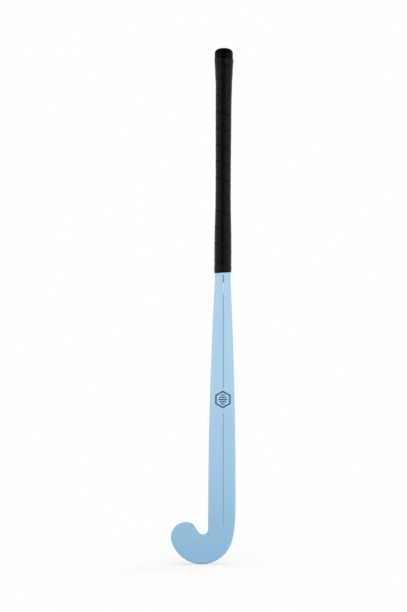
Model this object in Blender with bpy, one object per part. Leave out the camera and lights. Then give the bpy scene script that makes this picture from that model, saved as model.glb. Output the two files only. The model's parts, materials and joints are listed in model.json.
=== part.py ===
"""Indoor hockey stick, standing upright: +Z up, the flat playing face towards -Y, the toe towards -X.

Bent mulberry plies form the hook and the shaft. A cane handle with two rubber strips is spliced into
them. A twine binding, two glass laminates and a painted glass-fibre skin go over the wood, and the
handle end has a rubber cap, a wound grip and a finishing tape. Sizes are in metres.
"""

import math
from collections import namedtuple

import bmesh
import bpy
import numpy as np
from mathutils import Vector

MM = 0.001

# Whole stick
STICK_LENGTH = 927 * MM
GRIP_LENGTH = 403.8 * MM
BOW = 20 * MM
BOW_START = 130 * MM
BOW_END_BELOW_GRIP = 133.2 * MM

# Outline of the hook, as arcs that touch each other
HOOK_WIDTH = 116 * MM
TOE_RADIUS = 27.2 * MM
TOE_HEIGHT = 47.6 * MM
SHOULDER_RADIUS = 4.6 * MM
SHOULDER_CUT = 3.3 * MM
HEEL_RADIUS = 250 * MM
HEEL_TOP = 94.5 * MM
THROAT_HEIGHT = 62.3 * MM
HOOK_SLOPE = math.radians(56.6)

# Shaft, tapering from the hook to the neck below the grip
SHAFT_WIDTH = 49.2 * MM
NECK_WIDTH = 28.7 * MM
NECK_LENGTH = 13.2 * MM
TAPER_START = 131 * MM
TAPER_POWER = 1.8

# Cross-section: a flat face with rounded edges and a domed back, turning oval at the neck
EDGE_RADIUS = 4.5 * MM
TOE_ROLL = 15 * MM
DOME_POWER = 2.4
OVAL_CHANGE = 270 * MM
HOOK_DEPTH = 19 * MM
SHAFT_DEPTH = 22 * MM
SHAFT_DEPTH_HEIGHT = 310 * MM
OVAL_RATIO = 0.94

# Handle under the grip, thinned at its foot for the tape
REBATE_STEP = 1.2 * MM
HANDLE_LOW_WIDTH = 26.6 * MM
HANDLE_WAIST_WIDTH = 23.3 * MM
HANDLE_END_WIDTH = 24.5 * MM
HANDLE_LOW_ABOVE_FOOT = 41.8 * MM
HANDLE_WAIST_ABOVE_FOOT = 146.8 * MM
HANDLE_END_BELOW_BUTT = 67 * MM

# Layers over the wood
GAP = 0.3 * MM
SKIN_WALL = 1.2 * MM
INNER_LAYER = 0.6 * MM
LAMINATE_MARGIN = 5 * MM
LAMINATE_BELOW_BINDING = 5 * MM
BINDING_BELOW_SPLICE = 10 * MM

# Wood, cane and rubber
PLY_COUNT = 8
STRIP_BLUNT = 0.25 * MM
STRIP_LEAST = 0.8 * MM
SPLICE_BELOW_GRIP = 38.2 * MM
SPLICE_LENGTH = 140 * MM
MIDDLE_CANE_HALF = 3.4 * MM
RUBBER_STRIP = 1.2 * MM

# Rubber end cap
CAP_LIP_WIDTH = 33 * MM
CAP_LIP_HEIGHT = 18.6 * MM
CAP_DOME_REACH = 11 * MM
CAP_DOME_DROP = 9.5 * MM
CAP_CROWN = 7.7 * MM
CAP_SLEEVE_LENGTH = 24 * MM
CAP_SLEEVE_FOOT_WALL = 0.9 * MM
CAP_SLEEVE_TOP_WIDTH = 29.4 * MM

# Wound grip tape
TAPE_PITCH = 29.6 * MM
TAPE_LAP = 5 * MM
TAPE_BODY = 1.2 * MM
TAPE_SKIVED = 0.45 * MM
TAPE_FLAP = 0.7 * MM
TAPE_GAP = 0.45 * MM
TAPE_GROOVE = 0.5 * MM
TAPE_RAMP = 8 * MM
TAPE_START = 1.5 * MM
TAPE_END = 3 * MM
TAPE_STEPS_PER_TURN = 18
TAPE_START_ANGLE = math.radians(157)

# Finishing tape over the foot of the grip
COLLAR_HEIGHT = 16 * MM
COLLAR_LAP = 2 * MM
COLLAR_WALL = 0.5 * MM
COLLAR_SLANT = math.radians(3.4)

# Fineness of the meshes
ARC_STEP = math.radians(2)
FAN_STEPS = 16
CAP_STEPS = 8
STRAIGHT_STEPS = 2
HEEL_STEPS = 2
BOW_STEPS = 9
NECK_STEPS = 4
HANDLE_STEPS = 3
CUT_STEP = 1 * MM
BODY_COLUMNS = 12
STRIP_COLUMNS = 2
DOME_COLUMNS = 6
OVAL_SIDES = 24
CAP_SLEEVE_STEPS = 3
CAP_DOME_STEPS = 6
GAP_POINTS = 8
HALVINGS = 50
SHARE_SLACK = 1e-6
SHARP_ANGLE = math.radians(40)

# Heights and layers worked out from the sizes above
GRIP_BOTTOM = STICK_LENGTH - GRIP_LENGTH
GRIP_TOP = STICK_LENGTH - CAP_LIP_HEIGHT - GAP
TAPER_END = GRIP_BOTTOM - NECK_LENGTH
OVAL_START = TAPER_END - OVAL_CHANGE
BOW_END = GRIP_BOTTOM - BOW_END_BELOW_GRIP
SPLICE_TOP = GRIP_BOTTOM - SPLICE_BELOW_GRIP
SPLICE_TIP = SPLICE_TOP - SPLICE_LENGTH
BINDING_BOTTOM = SPLICE_TIP - BINDING_BELOW_SPLICE
LAMINATE_TOP = BINDING_BOTTOM - LAMINATE_BELOW_BINDING
REBATE = GRIP_BOTTOM + COLLAR_LAP
HANDLE_FOOT = GRIP_BOTTOM + COLLAR_HEIGHT
HANDLE_LOW = GRIP_BOTTOM + HANDLE_LOW_ABOVE_FOOT
HANDLE_WAIST = GRIP_BOTTOM + HANDLE_WAIST_ABOVE_FOOT
HANDLE_END = STICK_LENGTH - HANDLE_END_BELOW_BUTT
HANDLE_TOP = STICK_LENGTH - CAP_CROWN - GAP
SLEEVE_FOOT = STICK_LENGTH - CAP_LIP_HEIGHT - CAP_SLEEVE_LENGTH
CORE_INSET = SKIN_WALL + GAP
BOUND_INSET = CORE_INSET + INNER_LAYER + GAP
TAPE_BOTTOM = REBATE + REBATE_STEP + GAP
UNDER_FLAP = GAP + TAPE_SKIVED + TAPE_GAP
HANDLE_FOOT_WIDTH = NECK_WIDTH - 2 * (UNDER_FLAP + TAPE_FLAP)
NECK_DEPTH = NECK_WIDTH * OVAL_RATIO

# Bow of the face: two straight ends and an even bend between them
HALF_BEND = (BOW_END - BOW_START) / 2
BOW_RATIO = (BOW_START + HALF_BEND) / (HALF_BEND + STICK_LENGTH - BOW_END)
FACE_SLOPE = BOW / (BOW_START + HALF_BEND / (1 + BOW_RATIO))
HANDLE_SLOPE = FACE_SLOPE * BOW_RATIO

Station = namedtuple("Station", "origin direction low high tip")


def moved(point, direction, distance):
    """The point moved along a direction, both as (x, z)."""
    return (point[0] + direction[0] * distance, point[1] + direction[1] * distance)


def sole_middle(radius):
    """The x of the sole arc's centre, for a radius at which it touches the ground and the heel's arc."""
    across = (HEEL_RADIUS - radius) ** 2 - (HEEL_TOP - radius) ** 2
    return HEEL_CENTRE[0] + math.sqrt(across)


def sole_radius():
    """The radius at which the sole's arc touches the toe's arc too, found by halving."""
    least, most = TOE_HEIGHT, HEEL_TOP
    for _ in range(HALVINGS):
        radius = (least + most) / 2
        apart = math.hypot(sole_middle(radius) - TOE_CENTRE[0], radius - TOE_HEIGHT)
        if apart > radius - TOE_RADIUS:
            least = radius
        else:
            most = radius
    return radius


def throat_radius():
    """The radius at which the throat's arc touches both the shaft and the hook's straight inner edge."""
    across = (TOE_CENTRE[0] - SHAFT_LEFT) * INTO[0] + (TOE_HEIGHT - THROAT_HEIGHT) * INTO[1]
    return (across - TOE_RADIUS + SHOULDER_CUT) / (1 - INTO[0])


# Outline of the hook, as (x, z)
SHAFT_AXIS = HOOK_WIDTH / 2 - SHAFT_WIDTH / 2
SHAFT_LEFT = HOOK_WIDTH / 2 - SHAFT_WIDTH
RISE = (-math.cos(HOOK_SLOPE), math.sin(HOOK_SLOPE))
INTO = (-math.sin(HOOK_SLOPE), -math.cos(HOOK_SLOPE))
HEEL_CENTRE = (HOOK_WIDTH / 2 - HEEL_RADIUS, HEEL_TOP)
TOE_CENTRE = (TOE_RADIUS - HOOK_WIDTH / 2, TOE_HEIGHT)
SOLE_RADIUS = sole_radius()
SOLE_CENTRE = (sole_middle(SOLE_RADIUS), SOLE_RADIUS)
THROAT_RADIUS = throat_radius()
THROAT_CENTRE = (SHAFT_LEFT - THROAT_RADIUS, THROAT_HEIGHT)
THROAT_END = moved(THROAT_CENTRE, INTO, THROAT_RADIUS)
THROAT_TURN = math.pi / 2 + HOOK_SLOPE


def along(keys, height):
    """A size that passes smoothly through (height, size) pairs."""
    if height <= keys[0][0]:
        return keys[0][1]
    for (low, first), (high, second) in zip(keys, keys[1:]):
        if height <= high:
            share = (height - low) / (high - low)
            return first + (second - first) * share * share * (3 - 2 * share)
    return keys[-1][1]


def bow(height):
    """How far the flat face lies back from the chord between the stick's two ends."""
    if height <= BOW_START:
        return FACE_SLOPE * height
    bend = min(height, BOW_END) - BOW_START
    back = FACE_SLOPE * (BOW_START + bend) - (FACE_SLOPE + HANDLE_SLOPE) * bend**2 / (4 * HALF_BEND)
    return back - HANDLE_SLOPE * max(0, height - BOW_END)


def shaft_width(height):
    """Width of the painted body: straight, then tapering to the neck, then the handle under the grip."""
    if height <= TAPER_END:
        share = max(0, height - TAPER_START) / (TAPER_END - TAPER_START)
        return NECK_WIDTH + (SHAFT_WIDTH - NECK_WIDTH) * (1 - share**TAPER_POWER)
    if height <= REBATE:
        return NECK_WIDTH
    keys = (
        (HANDLE_FOOT, HANDLE_FOOT_WIDTH),
        (HANDLE_LOW, HANDLE_LOW_WIDTH),
        (HANDLE_WAIST, HANDLE_WAIST_WIDTH),
        (HANDLE_END, HANDLE_END_WIDTH),
    )
    return along(keys, height)


def body_depth(height):
    """Depth of the painted body from its face to its back."""
    if height > TAPER_END:
        return shaft_width(height) * OVAL_RATIO
    return along(((0, HOOK_DEPTH), (SHAFT_DEPTH_HEIGHT, SHAFT_DEPTH), (TAPER_END, NECK_DEPTH)), height)


def widest_plane(height):
    """Distance from the face plane back to where the section is widest, and how oval it is, 0 to 1."""
    oval = along(((OVAL_START, 0), (TAPER_END, 1)), height)
    return EDGE_RADIUS + (NECK_DEPTH / 2 - EDGE_RADIUS) * oval, oval


def narrowing(width):
    """How much less than half its width the half depth of the handle is."""
    return width * (1 - OVAL_RATIO) / 2


def middle_line(height):
    """The y of the handle's axis."""
    return bow(height) + NECK_DEPTH / 2


def arc(centre, radius, start, end):
    """Points (x, z) along an arc."""
    steps = max(1, round(abs(end - start) / ARC_STEP))
    angles = [start + (end - start) * step / steps for step in range(steps + 1)]
    return [moved(centre, (math.cos(angle), math.sin(angle)), radius) for angle in angles]


def shoulder_centre():
    """Centre of the small arc that touches the hook's straight inner edge and the toe arc."""
    start = moved(THROAT_END, INTO, SHOULDER_RADIUS)
    across = (start[0] - TOE_CENTRE[0], start[1] - TOE_CENTRE[1])
    ahead = across[0] * RISE[0] + across[1] * RISE[1]
    reach = TOE_RADIUS - SHOULDER_RADIUS
    return moved(start, RISE, math.sqrt(ahead**2 - across[0] ** 2 - across[1] ** 2 + reach**2) - ahead)


def joint_angle(inner, outer):
    """The angle at which the arc about the inner centre touches the one about the outer centre."""
    return math.atan2(inner[1] - outer[1], inner[0] - outer[0])


def hook_outline(inset):
    """The closed outline (x, z) of the hook and the foot of the shaft, moved in by an inset."""
    shoulder = shoulder_centre()
    toe_start = joint_angle(shoulder, TOE_CENTRE)
    toe_end = joint_angle(TOE_CENTRE, SOLE_CENTRE) % math.tau
    heel_start = joint_angle(SOLE_CENTRE, HEEL_CENTRE)
    heel_x = HOOK_WIDTH / 2 - inset
    top = HEEL_TOP + SHAFT_WIDTH
    outline = arc(THROAT_CENTRE, THROAT_RADIUS + inset, 0, -THROAT_TURN)
    outline += arc(shoulder, SHOULDER_RADIUS - inset, math.pi / 2 - HOOK_SLOPE, toe_start)
    outline += arc(TOE_CENTRE, TOE_RADIUS - inset, toe_start, toe_end)
    outline += arc(SOLE_CENTRE, SOLE_RADIUS - inset, toe_end, math.tau + heel_start)
    outline += arc(HEEL_CENTRE, HEEL_RADIUS - inset, heel_start, 0)
    return outline + [(heel_x, top), (SHAFT_LEFT + inset, top)]


def crossings(outline, origin, direction):
    """How far along a line, which starts at the throat, the outline is entered and left."""
    least = -THROAT_RADIUS / 2
    found = []
    for start, end in zip(outline, outline[1:] + outline[:1]):
        edge = (end[0] - start[0], end[1] - start[1])
        away = (start[0] - origin[0], start[1] - origin[1])
        turn = direction[0] * edge[1] - direction[1] * edge[0]
        if turn == 0:
            continue
        share = (away[0] * direction[1] - away[1] * direction[0]) / turn
        distance = (away[0] * edge[1] - away[1] * edge[0]) / turn
        if -SHARE_SLACK <= share <= 1 + SHARE_SLACK and distance > least:
            found.append(distance)
    return min(found), max(found)


def hook_stations(inset):
    """Lines across the hook from the toe's tip, round the throat, to the foot of the straight shaft.

    Each starts on the hook's inner edge, or on its straight part carried on past the toe, so that a
    distance along it is a distance through the laminations.
    """
    shoulder = shoulder_centre()
    shoulder_reach = sum((a - b) * c for a, b, c in zip(shoulder, THROAT_END, RISE))
    toe_reach = sum((a - b) * c for a, b, c in zip(TOE_CENTRE, THROAT_END, RISE))
    tip_reach = toe_reach + TOE_RADIUS - inset
    tips = [(tip_reach - shoulder_reach) * (step / CAP_STEPS) ** 2 for step in range(1, CAP_STEPS + 1)]
    tips += [tip_reach - shoulder_reach * (1 - step / STRAIGHT_STEPS) for step in range(1, STRAIGHT_STEPS)]
    lines = [(moved(THROAT_END, RISE, tip_reach - tip), INTO, tip) for tip in tips]
    for step in range(FAN_STEPS + 1):
        angle = THROAT_TURN * (step / FAN_STEPS - 1)
        direction = (math.cos(angle), math.sin(angle))
        lines.append((moved(THROAT_CENTRE, direction, THROAT_RADIUS), direction, math.inf))
    for step in range(1, HEEL_STEPS):
        height = THROAT_HEIGHT + (HEEL_TOP - THROAT_HEIGHT) * step / HEEL_STEPS
        lines.append(((SHAFT_LEFT, height), (1, 0), math.inf))
    outline = hook_outline(inset)
    return [Station(origin, way, *crossings(outline, origin, way), tip) for origin, way, tip in lines]


def shaft_station(height, inset):
    """A level line across the shaft or the handle."""
    axis = SHAFT_AXIS - SHAFT_LEFT
    half = shaft_width(height) / 2 - inset
    return Station((SHAFT_LEFT, height), (1, 0), axis - half, axis + half, math.inf)


def shaft_heights():
    """Heights of the shaft's and the handle's stations, close together only where the shape changes."""
    heights = [HEEL_TOP]
    heights += [BOW_START + 2 * HALF_BEND * step / BOW_STEPS for step in range(BOW_STEPS + 1)]
    heights += [BOW_END + (TAPER_END - BOW_END) * step / NECK_STEPS for step in range(1, NECK_STEPS + 1)]
    heights += [REBATE, REBATE + REBATE_STEP, HANDLE_FOOT]
    lows = [HANDLE_FOOT, HANDLE_LOW, HANDLE_WAIST, HANDLE_END]
    for low, high in zip(lows, lows[1:]):
        heights += [low + (high - low) * step / HANDLE_STEPS for step in range(1, HANDLE_STEPS + 1)]
    return heights + [HANDLE_TOP]


def depths(station, across, inset):
    """The front and back y of the body, moved in by an inset, at a distance across a station."""
    middle = (station.low + station.high) / 2
    half = (station.high - station.low) / 2
    level = moved(station.origin, station.direction, middle)[1]
    height = moved(station.origin, station.direction, across)[1]
    plane, oval = widest_plane(level)
    depth = body_depth(level)
    front_depth = min(plane, depth / 2)
    edge_width = min(half, (EDGE_RADIUS - inset) * (1 - oval) + half * oval)
    edge_depth = front_depth - inset
    power = DOME_POWER + (2 - DOME_POWER) * oval
    off = min(half, abs(across - middle))
    rounded = max(0, off - half + edge_width) / edge_width
    front = edge_depth * math.sqrt(1 - rounded**2)
    back = (depth - front_depth - inset) * (1 - (off / half) ** power) ** (1 / power)
    if station.tip < edge_depth:
        front *= math.sqrt(1 - (1 - station.tip / edge_depth) ** 2)
    if station.tip < TOE_ROLL:
        back *= (1 - (1 - station.tip / TOE_ROLL) ** DOME_POWER) ** (1 / DOME_POWER)
    return bow(height) + plane - front, bow(height) + plane + back


def surface_points(station, low, high, columns, inset):
    """Points of the front and of the back across a station, closer together towards both ends."""
    front = []
    back = []
    for column in range(columns + 1):
        across = low + (high - low) * (1 - math.cos(math.pi * column / columns)) / 2
        x, z = moved(station.origin, station.direction, across)
        front_y, back_y = depths(station, across, inset)
        front.append((x, front_y, z))
        back.append((x, back_y, z))
    return front, back


def body_ring(station, inset):
    """The whole section of the body, moved in by an inset."""
    front, back = surface_points(station, station.low, station.high, BODY_COLUMNS, inset)
    return front + back[-2:0:-1]


def oval_ring(height, half_width, half_depth, slant=0):
    """A level oval about the handle's axis, its plane tipped up towards +X by a slant."""
    points = []
    for side in range(OVAL_SIDES):
        angle = math.tau * side / OVAL_SIDES
        x = SHAFT_AXIS + half_width * math.cos(angle)
        z = height + (x - SHAFT_AXIS) * math.tan(slant)
        points.append((x, middle_line(z) + half_depth * math.sin(angle), z))
    return points


def finish(name, colour, roughness):
    """A plain material, not a metal, from a colour in 8-bit sRGB."""
    linear = [((part / 255 + 0.055) / 1.055) ** 2.4 for part in colour]
    material = bpy.data.materials.new(name)
    material.use_nodes = True
    shader = material.node_tree.nodes["Principled BSDF"]
    shader.inputs["Base Color"].default_value = (*linear, 1)
    shader.inputs["Roughness"].default_value = roughness
    shader.inputs["Metallic"].default_value = 0
    material.diffuse_color = (*linear, 1)
    return material


def loft(name, rings, material, endless=False):
    """A closed body through rings of as many points each, its ends filled or joined to each other."""
    shape = bmesh.new()
    rows = [[shape.verts.new(point) for point in ring] for ring in rings]
    pairs = list(zip(rows, rows[1:]))
    if endless:
        pairs.append((rows[-1], rows[0]))
    else:
        shape.faces.new(rows[0])
        shape.faces.new(rows[-1])
    for first, second in pairs:
        for at in range(len(first)):
            after = (at + 1) % len(first)
            shape.faces.new((first[at], first[after], second[after], second[at]))
    bmesh.ops.recalc_face_normals(shape, faces=shape.faces)
    mesh = bpy.data.meshes.new(name)
    shape.to_mesh(mesh)
    shape.free()
    mesh.materials.append(material)
    mesh.shade_smooth()
    mesh.set_sharp_from_angle(angle=SHARP_ANGLE)
    piece = bpy.data.objects.new(name, mesh)
    parts.objects.link(piece)
    piece.parent = base
    return piece


def glass_fibre_skin():
    """The painted skin: a sock over the wood, open at the butt."""
    outer = [body_ring(station, 0) for station in hook_stations(0)]
    inner = [body_ring(station, SKIN_WALL) for station in hook_stations(SKIN_WALL)]
    outer += [body_ring(shaft_station(height, 0), 0) for height in shaft_heights()]
    inner += [body_ring(shaft_station(height, SKIN_WALL), SKIN_WALL) for height in shaft_heights()]
    loft("glass_fibre_skin", outer + inner[::-1], finish("blue_paint", (170, 207, 232), 0.45))


def core_station(height):
    """A level line across the wood: inside the skin on the shaft, inside the binding above it."""
    return shaft_station(height, CORE_INSET if height <= LAMINATE_TOP else BOUND_INSET)


def splice_half_width(height):
    """Half the width of the V of cane that is let into the plies."""
    return SHAFT_WIDTH / 2 * max(0, height - SPLICE_TIP) / (SPLICE_TOP - SPLICE_TIP)


def strip(name, edges, stations, columns, material):
    """A strip of the core between two edges, which are distances across each station.

    The strip starts and stops where it runs out at a tapering side or at the splice.
    """

    def width(station):
        low, high = edges(station)
        return high - low

    fine = [HEEL_TOP + CUT_STEP * step for step in range(int((HANDLE_TOP - HEEL_TOP) / CUT_STEP))]
    fitting = [height for height in fine if width(core_station(height)) >= STRIP_LEAST]
    heights = shaft_heights() + [LAMINATE_TOP, BINDING_BOTTOM]
    heights = [height for height in heights if fitting[0] < height < fitting[-1]]
    stations = stations + [core_station(height) for height in sorted([fitting[0], fitting[-1], *heights])]
    rings = []
    for station in stations:
        if width(station) >= STRIP_LEAST:
            front, back = surface_points(station, *edges(station), columns, BOUND_INSET)
            rings.append(front + back[::-1])
    return loft(name, rings, material)


def mulberry_plies():
    """Plies bent round the throat, their tops cut to the V of the splice."""
    wood = finish("mulberry", (214, 178, 128), 0.6)
    thickness = SHAFT_WIDTH / PLY_COUNT
    axis = SHAFT_WIDTH / 2
    stations = hook_stations(CORE_INSET)
    for number in range(PLY_COUNT):

        def edges(station, number=number):
            low = number * thickness + GAP / 2
            high = (number + 1) * thickness - GAP / 2 if number < PLY_COUNT - 1 else math.inf
            wedge = splice_half_width(station.origin[1]) + GAP / 2
            if high < axis:
                high = min(high, axis - wedge)
            else:
                low = max(low, axis + wedge)
            return max(low, station.low + STRIP_BLUNT), min(high, station.high - STRIP_BLUNT)

        strip(f"mulberry_ply_{number + 1}", edges, stations, STRIP_COLUMNS, wood)


def cane_handle():
    """Three canes with two rubber strips between them, which dull the sting of a hit."""
    cane = finish("cane", (196, 160, 104), 0.55)
    rubber = finish("strip_rubber", (60, 52, 46), 0.7)
    axis = SHAFT_WIDTH / 2
    strip_near = MIDDLE_CANE_HALF + GAP
    strip_far = strip_near + RUBBER_STRIP
    side_cane = strip_far + GAP
    pieces = (
        ("cane_left", -math.inf, -side_cane, cane),
        ("rubber_strip_left", -strip_far, -strip_near, rubber),
        ("cane_middle", -MIDDLE_CANE_HALF, MIDDLE_CANE_HALF, cane),
        ("rubber_strip_right", strip_near, strip_far, rubber),
        ("cane_right", side_cane, math.inf, cane),
    )
    for name, left, right, material in pieces:

        def edges(station, left=left, right=right):
            wedge = splice_half_width(station.origin[1]) - GAP / 2
            low = axis + max(left, -wedge)
            high = axis + min(right, wedge)
            return max(low, station.low + STRIP_BLUNT), min(high, station.high - STRIP_BLUNT)

        strip(name, edges, [], STRIP_COLUMNS, material)


def handle_binding():
    """Twine wound close over the splice and the whole handle, and set in glue."""
    heights = [height for height in shaft_heights() if height > BINDING_BOTTOM]
    heights = [BINDING_BOTTOM] + heights[:-1] + [HANDLE_TOP - GAP]
    outer = [body_ring(shaft_station(height, CORE_INSET), CORE_INSET) for height in heights]
    inset = CORE_INSET + INNER_LAYER
    inner = [body_ring(shaft_station(height, inset), inset) for height in heights]
    loft("handle_binding", outer + inner[::-1], finish("waxed_twine", (206, 196, 168), 0.8), endless=True)


def laminates():
    """Strips of unwoven glass along the flat face and the back, between the skin and the plies."""
    glass = finish("glass_laminate", (188, 196, 178), 0.4)
    stations = hook_stations(CORE_INSET)
    heights = [height for height in shaft_heights() if height < LAMINATE_TOP] + [LAMINATE_TOP]
    stations += [core_station(height) for height in heights]
    stations = [station for station in stations if station.tip > LAMINATE_MARGIN]
    for name, side, columns in (("face_laminate", 0, STRIP_COLUMNS), ("back_laminate", 1, DOME_COLUMNS)):
        rings = []
        for station in stations:
            low = station.low + LAMINATE_MARGIN
            high = station.high - LAMINATE_MARGIN
            outer = surface_points(station, low, high, columns, CORE_INSET)[side]
            inner = surface_points(station, low, high, columns, CORE_INSET + INNER_LAYER)[side]
            rings.append(outer + inner[::-1])
        loft(name, rings, glass)


def wrapped_width(height):
    """Width of what the grip is wound on: the handle, and the cap's sleeve near the butt."""
    if height <= HANDLE_END:
        return shaft_width(height)
    sleeve_foot_width = HANDLE_END_WIDTH + 2 * (GAP + CAP_SLEEVE_FOOT_WALL)
    keys = (
        (HANDLE_END, HANDLE_END_WIDTH),
        (SLEEVE_FOOT, sleeve_foot_width),
        (STICK_LENGTH - CAP_LIP_HEIGHT, CAP_SLEEVE_TOP_WIDTH),
    )
    return along(keys, height)


def end_cap():
    """A rubber cap: a lip and a domed crown over the butt, and a sleeve down under the grip."""
    lip = STICK_LENGTH - CAP_LIP_HEIGHT
    spare = narrowing(HANDLE_END_WIDTH)
    bore = HANDLE_END_WIDTH / 2 + GAP
    sizes = [(STICK_LENGTH - CAP_CROWN, bore), (SLEEVE_FOOT, bore)]
    for step in range(CAP_SLEEVE_STEPS + 1):
        height = SLEEVE_FOOT + (lip - SLEEVE_FOOT) * step / CAP_SLEEVE_STEPS
        sizes.append((height, wrapped_width(height) / 2))
    sizes.append((lip, CAP_LIP_WIDTH / 2))
    for step in range(CAP_DOME_STEPS + 1):
        angle = math.pi / 2 * step / CAP_DOME_STEPS
        height = STICK_LENGTH - CAP_DOME_DROP * (1 - math.sin(angle))
        sizes.append((height, CAP_LIP_WIDTH / 2 - CAP_DOME_REACH * (1 - math.cos(angle))))
    rings = [oval_ring(height, half, half - spare) for height, half in sizes]
    loft("end_cap", rings, finish("cap_rubber", (26, 26, 32), 0.5))


def tape_profile(least, most):
    """The tape's section as (distance down from its upper edge, height off the handle).

    The upper edge is a flap that lies over the thinned lower edge of the turn above it. At the tape's
    start the part above least is cut away, and at its end the part below most.
    """
    width = TAPE_PITCH + TAPE_LAP
    shoulder = TAPE_PITCH - TAPE_GROOVE
    step = TAPE_LAP + TAPE_GROOVE
    body = GAP + TAPE_BODY
    skived = GAP + TAPE_SKIVED
    profile = (
        (0, UNDER_FLAP),
        (0, UNDER_FLAP + TAPE_FLAP),
        (TAPE_RAMP, body),
        ((TAPE_RAMP + shoulder) / 2, body),
        (shoulder, body),
        (shoulder, skived),
        (width, skived),
        (width, GAP),
        ((width + step) / 2, GAP),
        (step, GAP),
        (step, UNDER_FLAP),
    )
    cut = []
    for down, off in profile:
        if down <= shoulder:
            down = least + down * (shoulder - least) / shoulder
        if down >= step:
            down = step + (down - step) * (most - step) / (width - step)
        cut.append((down, off))
    return cut


def least_gap(rings):
    """The least distance from one turn of the tape to the next, measured on points of its sections."""
    corners = np.array(rings)[:, :, None]
    sides = np.roll(corners, -1, axis=1) - corners
    shares = np.linspace(0, 1, GAP_POINTS, endpoint=False)[:, None]
    points = (corners + sides * shares).reshape(len(rings), -1, 3)
    pairs = zip(points[:, :, None], points[TAPE_STEPS_PER_TURN:, None])
    return min(np.linalg.norm(turn - next_turn, axis=-1).min() for turn, next_turn in pairs)


def grip_tape():
    """One unbroken tape, wound down from the cap, each turn lapping the one above."""
    width = TAPE_PITCH + TAPE_LAP
    shoulder = TAPE_PITCH - TAPE_GROOVE
    top = GRIP_TOP + shoulder - TAPE_START
    bottom = TAPE_BOTTOM + TAPE_LAP + TAPE_GROOVE + TAPE_END
    rings = []
    for step in range(int((top - bottom) / TAPE_PITCH * TAPE_STEPS_PER_TURN) + 1):
        turn = step / TAPE_STEPS_PER_TURN
        angle = TAPE_START_ANGLE + math.tau * turn
        upper = top - TAPE_PITCH * turn
        ring = []
        for down, off in tape_profile(max(0, upper - GRIP_TOP), min(width, upper - TAPE_BOTTOM)):
            height = upper - down
            half = wrapped_width(height) / 2 + off
            spare = narrowing(shaft_width(height))
            x = SHAFT_AXIS + half * math.cos(angle)
            y = middle_line(height) + (half - spare) * math.sin(angle)
            ring.append((x, y, height))
        rings.append(ring)
    print(f"grip tape: {turn:.1f} turns, least gap to itself {least_gap(rings) / MM:.2f} mm")
    loft("grip_tape", rings, finish("grip_tape", (38, 36, 39), 0.6))


def finishing_tape():
    """A band of tape round the foot of the grip, lapping down over the paint, its edge a little slanted."""
    bore = NECK_WIDTH / 2 + GAP
    wall = bore + COLLAR_WALL
    rounded = bore + COLLAR_WALL / 2
    spare = narrowing(NECK_WIDTH)
    top = HANDLE_FOOT
    sizes = (
        (GRIP_BOTTOM, bore, COLLAR_SLANT),
        (GRIP_BOTTOM, rounded, COLLAR_SLANT),
        (GRIP_BOTTOM + COLLAR_WALL, wall, COLLAR_SLANT),
        (top - COLLAR_WALL, wall, 0),
        (top, rounded, 0),
        (top, bore, 0),
    )
    rings = [oval_ring(height, half, half - spare, slant) for height, half, slant in sizes]
    loft("finishing_tape", rings, finish("finishing_tape", (34, 33, 36), 0.5), endless=True)


def centre_depthwise():
    """Moves the base so that the origin is at the middle of the bounding box's foot."""
    bpy.context.view_layer.update()
    depthwise = []
    for piece in parts.objects:
        depthwise += [(piece.matrix_world @ Vector(corner)).y for corner in piece.bound_box]
    base.location.y -= (min(depthwise) + max(depthwise)) / 2


for old in list(bpy.data.objects):
    bpy.data.objects.remove(old)
parts = bpy.data.collections.new("indoor_hockey_stick")
bpy.context.scene.collection.children.link(parts)
base = bpy.data.objects.new("stick_base", None)
bpy.context.scene.collection.objects.link(base)

glass_fibre_skin()
laminates()
mulberry_plies()
cane_handle()
handle_binding()
end_cap()
grip_tape()
finishing_tape()
centre_depthwise()
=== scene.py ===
"""Looks of the indoor hockey stick: bare wood and cane inside, pale blue paint, a wound black grip.

Sizes are in metres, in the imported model's frame: +Z up the stick, the flat playing face towards -Y,
the toe towards -X. The stick stands on its sole in a plain white studio.
"""

import json
import math
from collections import namedtuple

import bmesh
import bpy
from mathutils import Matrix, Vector, noise


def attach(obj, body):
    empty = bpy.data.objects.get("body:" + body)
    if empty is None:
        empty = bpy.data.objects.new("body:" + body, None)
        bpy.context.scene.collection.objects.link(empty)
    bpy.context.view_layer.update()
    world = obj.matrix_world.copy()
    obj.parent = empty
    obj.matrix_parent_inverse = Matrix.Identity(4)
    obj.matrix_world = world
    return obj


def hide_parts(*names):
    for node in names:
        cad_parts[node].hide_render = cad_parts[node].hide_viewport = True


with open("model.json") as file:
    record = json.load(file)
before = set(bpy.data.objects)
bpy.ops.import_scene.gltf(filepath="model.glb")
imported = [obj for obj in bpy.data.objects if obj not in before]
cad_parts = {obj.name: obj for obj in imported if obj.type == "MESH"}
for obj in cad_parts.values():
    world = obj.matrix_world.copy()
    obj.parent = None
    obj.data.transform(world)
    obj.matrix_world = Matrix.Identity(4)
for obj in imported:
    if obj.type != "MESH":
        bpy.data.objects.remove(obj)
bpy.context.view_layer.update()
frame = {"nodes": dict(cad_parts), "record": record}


# Bent plies
# Eight strips of mulberry, steamed and bent round the throat, then glued side by side. They are the
# hook and the lower shaft, and lie wholly inside the painted skin.


def linear(red, green, blue):
    """A shader's colour from 8-bit sRGB."""
    return (*(((part / 255 + 0.055) / 1.055) ** 2.4 for part in (red, green, blue)), 1)


def add(owner, kind, inputs=(), **settings):
    """A shader node of a material or world. An input is a value or another node's output."""
    made = owner.node_tree.nodes.new(kind)
    for name, value in settings.items():
        setattr(made, name, value)
    for name, value in dict(inputs).items():
        if isinstance(value, bpy.types.NodeSocket):
            owner.node_tree.links.new(value, made.inputs[name])
        else:
            made.inputs[name].default_value = value
    return made


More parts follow.
